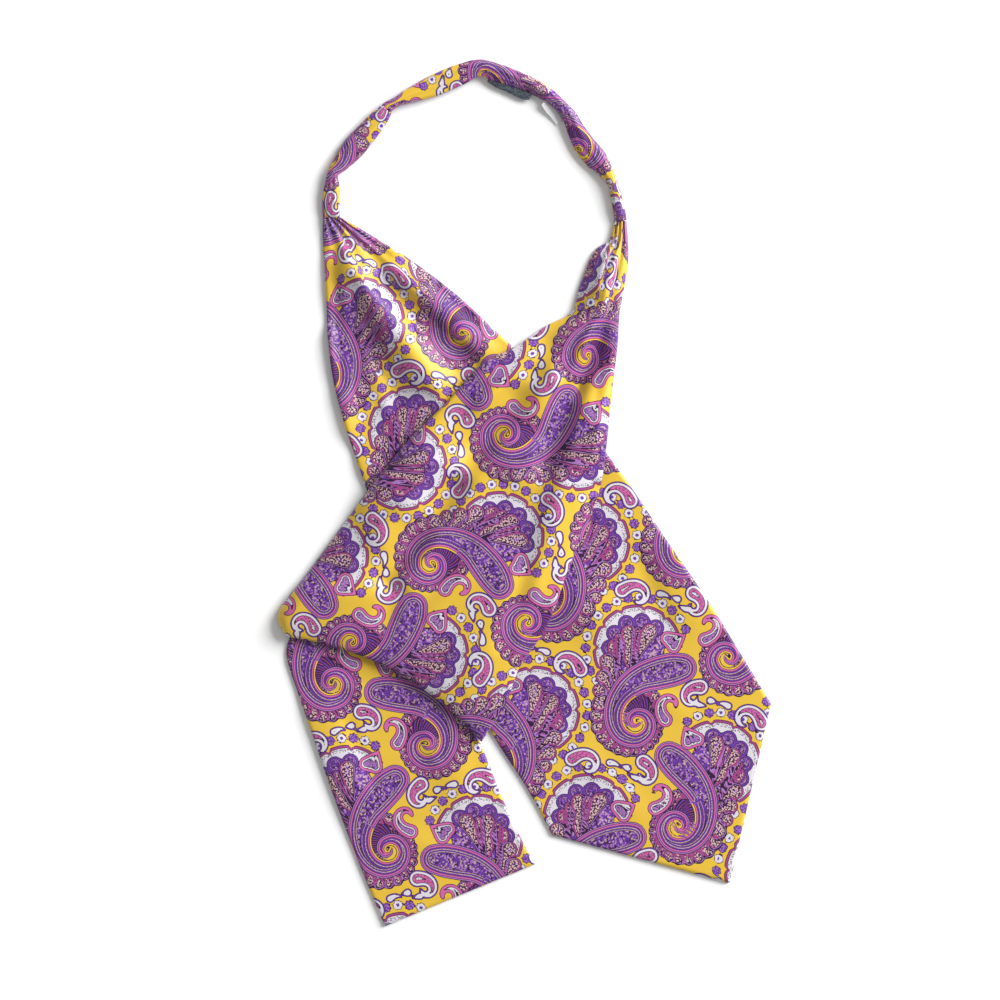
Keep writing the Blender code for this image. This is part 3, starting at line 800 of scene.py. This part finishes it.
over_plan = panel_plan(OVER_PANEL_SECTIONS, (250, 130))
over_x = over_plan[..., 0]
over_y = over_plan[..., 1]
over_shoulder = line_distance(over_plan, over_plan[0])
over_end = line_distance(over_plan, over_plan[-1])
over_left = line_distance(over_plan, over_plan[:, 0])
over_right = line_distance(over_plan, over_plan[:, -1])
over_inset = np.minimum.reduce([1.6 * over_left, over_shoulder, 0.7 * over_end])
over_ease = 1 - np.exp(-3 / 26 * over_inset)
over_floor = support_height(over_x, over_y)
over_loft = 4.0 - 2.8 * np.exp(-over_right / 14)
over_fold = np.maximum(fold_height(over_x, over_y, OVER_FOLDS), -4.0)
over_under = over_floor + (over_loft + over_fold) * over_ease
over_roll = np.sqrt(1 - (1 - np.clip(over_end / 9, 0, 1)) ** 2)
over_under += 0.9 * over_roll * smooth_step(over_shoulder / 90)
over_gather, over_shift = gathers_at(over_plan, RIGHT_GATHERS)
over_under += over_gather
over_puff = np.sqrt(1 - (1 - np.clip(over_left / 6, 0, 1)) ** 2) * smooth_step((over_shoulder - 20) / 60)
over_under = np.maximum(over_under + fold_height(over_x, over_y, OVER_CREASES) * over_ease, over_floor)
over_thick = 2.0 * edge_round(over_plan, 1.6, ends=(-1,)) + 1.2 * over_puff
over_panel_silk = panel_shell("over_panel_silk", over_plan, over_under, over_thick,
                              Lay(-11.3, 33.9, 6.5), over_shift)

for panel, node, flat, area, held, rests_on in (
        (left_panel_silk, "left_panel", (0.150, 0.175), 0.0200, "gathered", ()),
        (pointed_blade_silk, "pointed_blade", (0.150, 0.278), 0.0345, "laid", ()),
        (square_end_silk, "square_end", (0.100, 0.185), 0.0170, "laid", ()),
        (over_panel_silk, "over_panel", (0.150, 0.300), 0.0360, "gathered",
         (left_panel_silk, pointed_blade_silk, square_end_silk))):
    panel.data.materials.append(SILK)
    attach(panel, "root")
    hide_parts(node)

# The neckband, a silk tube gathered and turned over on itself, from the left shoulder round the back of
# the neck to the right one. It shows in three stretches between its twists.

Band = namedtuple("Band", "x y width")

NECKBAND_SECTIONS = (
    Band(-111.7, 160.4, 10.0),
    Band(-111.8, 170.2, 10.3),
    Band(-111.4, 177.5, 9.2),
    Band(-111.0, 185.3, 6.0),
    Band(-106.2, 191.6, 9.8),
    Band(-98.5, 200.8, 13.6),
    Band(-89.4, 211.2, 12.2),
    Band(-83.8, 218.0, 10.4),
    Band(-79.0, 224.0, 6.4),
    Band(-74.0, 227.0, 5.4),
    Band(-69.0, 229.6, 7.2),
    Band(-61.2, 232.7, 10.4),
    Band(-51.3, 236.7, 12.8),
    Band(-38.6, 242.3, 12.8),
    Band(-26.4, 246.9, 9.8),
    Band(-15.9, 244.2, 11.0),
    Band(-3.2, 239.8, 9.8),
    Band(7.2, 235.2, 8.8),
    Band(14.8, 230.2, 7.6),
    Band(21.4, 224.5, 6.8),
    Band(26.4, 218.4, 8.7),
    Band(29.9, 211.4, 10.4),
    Band(35.7, 201.5, 13.0),
    Band(41.5, 194.6, 13.2),
    Band(46.7, 187.6, 9.3),
    Band(51.0, 180.1, 5.4),
    Band(53.1, 172.5, 6.4),
    Band(54.5, 165.4, 6.8),
    Band(55.5, 158.4, 7.0),
)


def neckband_at(along):
    """The middle of the neckband at each place along it, the way square to it towards the neck, and its
    width there."""
    rows = along_rows(NECKBAND_SECTIONS, 300)
    travel = np.gradient(np.column_stack([rows.x, rows.y]), axis=0)
    travel /= np.linalg.norm(travel, axis=1, keepdims=True)
    steps = np.linspace(0, 1, 300)
    middle = np.column_stack([np.interp(along, steps, column) for column in (rows.x, rows.y)])
    aside = np.column_stack([np.interp(along, steps, column) for column in (travel[:, 1], -travel[:, 0])])
    return middle, aside, np.interp(along, steps, rows.width)[:, None]


def neckband_tube(name, start, end, wind_from, lay):
    """A stretch of the neckband: a flattened tube with uneven pleats that wind slowly round it. Its ends
    are drawn in, and it is pressed down where it joins a shoulder."""
    rows = int((end - start) * 340)
    sides = 72
    share = np.concatenate([[0], np.linspace(0, 1, rows), [1]])[:, None]
    drawn_in = np.ones(share.shape)
    drawn_in[[0, -1]] = 0.1
    place = start + (end - start) * share
    middle, aside, width = neckband_at(place[:, 0])
    pressed = 1 - 0.42 * np.exp(-np.minimum(place, 1 - place) * 255 / 5)
    thickness = (6.0 + 1.4 * (1 - width / 13)) * pressed
    turn = np.linspace(0, 2 * np.pi, sides + 1)[None, :]
    wind = wind_from + 2.6 * share
    pleat = 0.08 * (1 + np.cos(3 * turn + wind)) + 0.09 * np.abs(np.sin(4 * turn + 1.6 * wind + 0.7))
    radius = (1 - pleat) * drawn_in
    out = np.cos(turn) * radius * width / 2
    up = np.maximum((1 + np.sin(turn) * radius) * thickness / 2 - 0.12 * thickness, 0)
    points = np.concatenate([middle[:, None, :] + aside[:, None, :] * out[..., None], up[..., None]], axis=2)
    along = place * 255 * 1.15 / STEP + 0 * turn
    around = turn / (2 * np.pi) * 36 / STEP + 0 * along
    tilt = np.radians(lay.turn)
    u = lay.x + along * np.cos(tilt) + around * np.sin(tilt)
    v = lay.y + around * np.cos(tilt) - along * np.sin(tilt)
    fields = {key: value.ravel() for key, value in print_fields(u, v).items()}
    faces = grid_faces(rows + 2, sides + 1)[:, ::-1]
    return put_mesh(name, points.reshape(-1, 3), faces, fields, np.column_stack([u.ravel(), v.ravel()]))


for name, node, start, end, wind_from, lay in (
        ("neckband_left_silk", "neckband_left", 0.0, 0.28, 0.0, Lay(114, 24, 50)),
        ("neckband_back_silk", "neckband_back", 0.2815, 0.67, 1.2, Lay(36, 126, 330)),
        ("neckband_right_silk", "neckband_right", 0.6715, 1.0, 2.3, Lay(54, 78, 170))):
    band = neckband_tube(name, start, end, wind_from, lay)
    band.data.materials.append(SILK)
    solid = band.modifiers.new("cloth", "SOLIDIFY")
    solid.thickness = 0.0005
    solid.offset = -1
    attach(band, "root")
    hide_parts(node)

# The neckband's lining, slate grey with fine specks, seen as a narrow strip along the inner edge, and the
# small folded woven label, left blank.

Beside = namedtuple("Beside", "along near far")

LINING_SECTIONS = (
    Beside(0.535, 0.4, 1.7),
    Beside(0.555, 0.4, 3.1),
    Beside(0.575, 0.4, 3.7),
    Beside(0.600, 0.4, 4.7),
    Beside(0.625, 0.4, 5.1),
    Beside(0.640, 0.4, 4.0),
)

LABEL_SECTIONS = (
    Beside(0.674, 0.35, 3.2),
    Beside(0.695, 0.40, 5.2),
    Beside(0.715, 0.50, 5.6),
    Beside(0.738, 0.90, 4.8),
)


def beside_neckband(sections, grid):
    """A strip on the table made from the neckband's inner edge, each side moved out by its own distance."""
    rows = Beside(*np.array(sections).T)
    along = np.linspace(rows.along[0], rows.along[-1], grid[0])
    near = np.interp(along, rows.along, rows.near)[:, None, None]
    far = np.interp(along, rows.along, rows.far)[:, None, None]
    middle, aside, width = neckband_at(along)
    edge = middle + aside * width / 2
    u = np.linspace(0, 1, grid[1])[None, :, None]
    return edge[:, None, :] + aside[:, None, :] * (near + (far - near) * u)


def plain_cloth(name, colour, roughness, specks):
    """Plain cloth with fine specks of a second tone."""
    material = bpy.data.materials.new(name)
    material.use_nodes = True
    nodes = material.node_tree.nodes
    links = material.node_tree.links
    shader = nodes["Principled BSDF"]
    place = nodes.new("ShaderNodeTexCoord")
    noise = nodes.new("ShaderNodeTexNoise")
    noise.inputs["Scale"].default_value = 1100
    links.new(place.outputs["Object"], noise.inputs["Vector"])
    ramp = nodes.new("ShaderNodeValToRGB")
    ramp.color_ramp.elements[0].position = 0.45
    ramp.color_ramp.elements[0].color = (*colour, 1)
    ramp.color_ramp.elements[1].position = 0.62
    ramp.color_ramp.elements[1].color = (*specks, 1)
    links.new(noise.outputs[0], ramp.inputs[0])
    links.new(ramp.outputs[0], shader.inputs["Base Color"])
    shader.inputs["Roughness"].default_value = roughness
    return material


def plain_strip(name, plan, under, thick, material):
    """A strip of plain cloth as a closed shell."""
    rows, columns = plan.shape[:2]
    count = rows * columns
    under = np.broadcast_to(under, plan.shape[:2])
    top = np.concatenate([plan, under[..., None] + thick], axis=2).reshape(-1, 3)
    bottom = np.concatenate([plan, under[..., None]], axis=2).reshape(-1, 3)
    index = np.arange(count).reshape(rows, columns)
    ring = np.concatenate([index[:-1, 0], index[-1, :-1], index[:0:-1, -1], index[0, :0:-1]])
    after = np.roll(ring, -1)
    wall = np.column_stack([ring, ring + count, after + count, after])
    faces = np.vstack([grid_faces(rows, columns), grid_faces(rows, columns, count)[:, ::-1], wall])
    mesh = bpy.data.meshes.new(name)
    mesh.from_pydata((np.vstack([top, bottom]) * MM).tolist(), [], faces.tolist())
    mesh.shade_smooth()
    mesh.set_sharp_from_angle(angle=0.9)
    mesh.materials.append(material)
    obj = bpy.data.objects.new(name, mesh)
    bpy.context.scene.collection.objects.link(obj)
    return obj


strip_plan = beside_neckband(LINING_SECTIONS, (60, 9))
strip_rise = 1.4 + 1.2 * np.linspace(1, 0, 9)[None, :]
lining_strip = plain_strip("neckband_lining_cloth", strip_plan, strip_rise, 0.9,
                           plain_cloth("slate_lining", (0.035, 0.045, 0.065), 0.6, (0.13, 0.15, 0.18)))
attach(lining_strip, "root")
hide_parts("neckband_lining")

label_plan = beside_neckband(LABEL_SECTIONS, (40, 9))
label_rise = 2.4 * np.linspace(1, 0, 40)[:, None] ** 2
label = plain_strip("blank_label_cloth", label_plan, label_rise, 0.8,
                    plain_cloth("label_white", (0.78, 0.78, 0.78), 0.6, (0.70, 0.70, 0.72)))
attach(label, "root")
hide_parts("blank_label")

# The studio: a pale plain floor, a large soft light far off to the upper right, a weak fill, and a camera that
# looks straight down.

floor_mesh = bpy.data.meshes.new("floor")
floor_mesh.from_pydata([(-3, -3, -0.0005), (3, -3, -0.0005), (3, 3, -0.0005), (-3, 3, -0.0005)], [], [(0, 1, 2, 3)])
floor = bpy.data.objects.new("floor", floor_mesh)
bpy.context.scene.collection.objects.link(floor)
floor_paint = bpy.data.materials.new("floor")
floor_paint.use_nodes = True
floor_paint.node_tree.nodes["Principled BSDF"].inputs["Base Color"].default_value = (0.97, 0.97, 0.97, 1)
floor_paint.node_tree.nodes["Principled BSDF"].inputs["Roughness"].default_value = 0.9
floor_mesh.materials.append(floor_paint)

world = bpy.data.worlds.new("studio")
world.use_nodes = True
world.node_tree.nodes["Background"].inputs["Color"].default_value = (1, 1, 1, 1)
world.node_tree.nodes["Background"].inputs["Strength"].default_value = 0.34
bpy.context.scene.world = world
bpy.context.scene.view_settings.view_transform = "Standard"

for name, place, size, power in (("key", (3.4, 2.2, 2.1), 3.2, 446), ("fill", (-3.0, -1.8, 3.6), 4.0, 18)):
    lamp = bpy.data.lights.new(name, "AREA")
    lamp.size = size
    lamp.energy = power
    lamp_obj = bpy.data.objects.new(name, lamp)
    lamp_obj.location = place
    towards = -np.array(place)
    lamp_obj.rotation_euler = (
        float(np.arccos(-towards[2] / np.linalg.norm(towards))), 0,
        float(np.arctan2(towards[1], towards[0]) - np.pi / 2))
    bpy.context.scene.collection.objects.link(lamp_obj)

camera = bpy.data.cameras.new("camera")
camera.lens = 200
camera.sensor_width = 36
camera_obj = bpy.data.objects.new("camera", camera)
camera_obj.location = (-0.0142, -0.0038, 0.58 * 200 / 36)
bpy.context.scene.collection.objects.link(camera_obj)
bpy.context.scene.camera = camera_obj
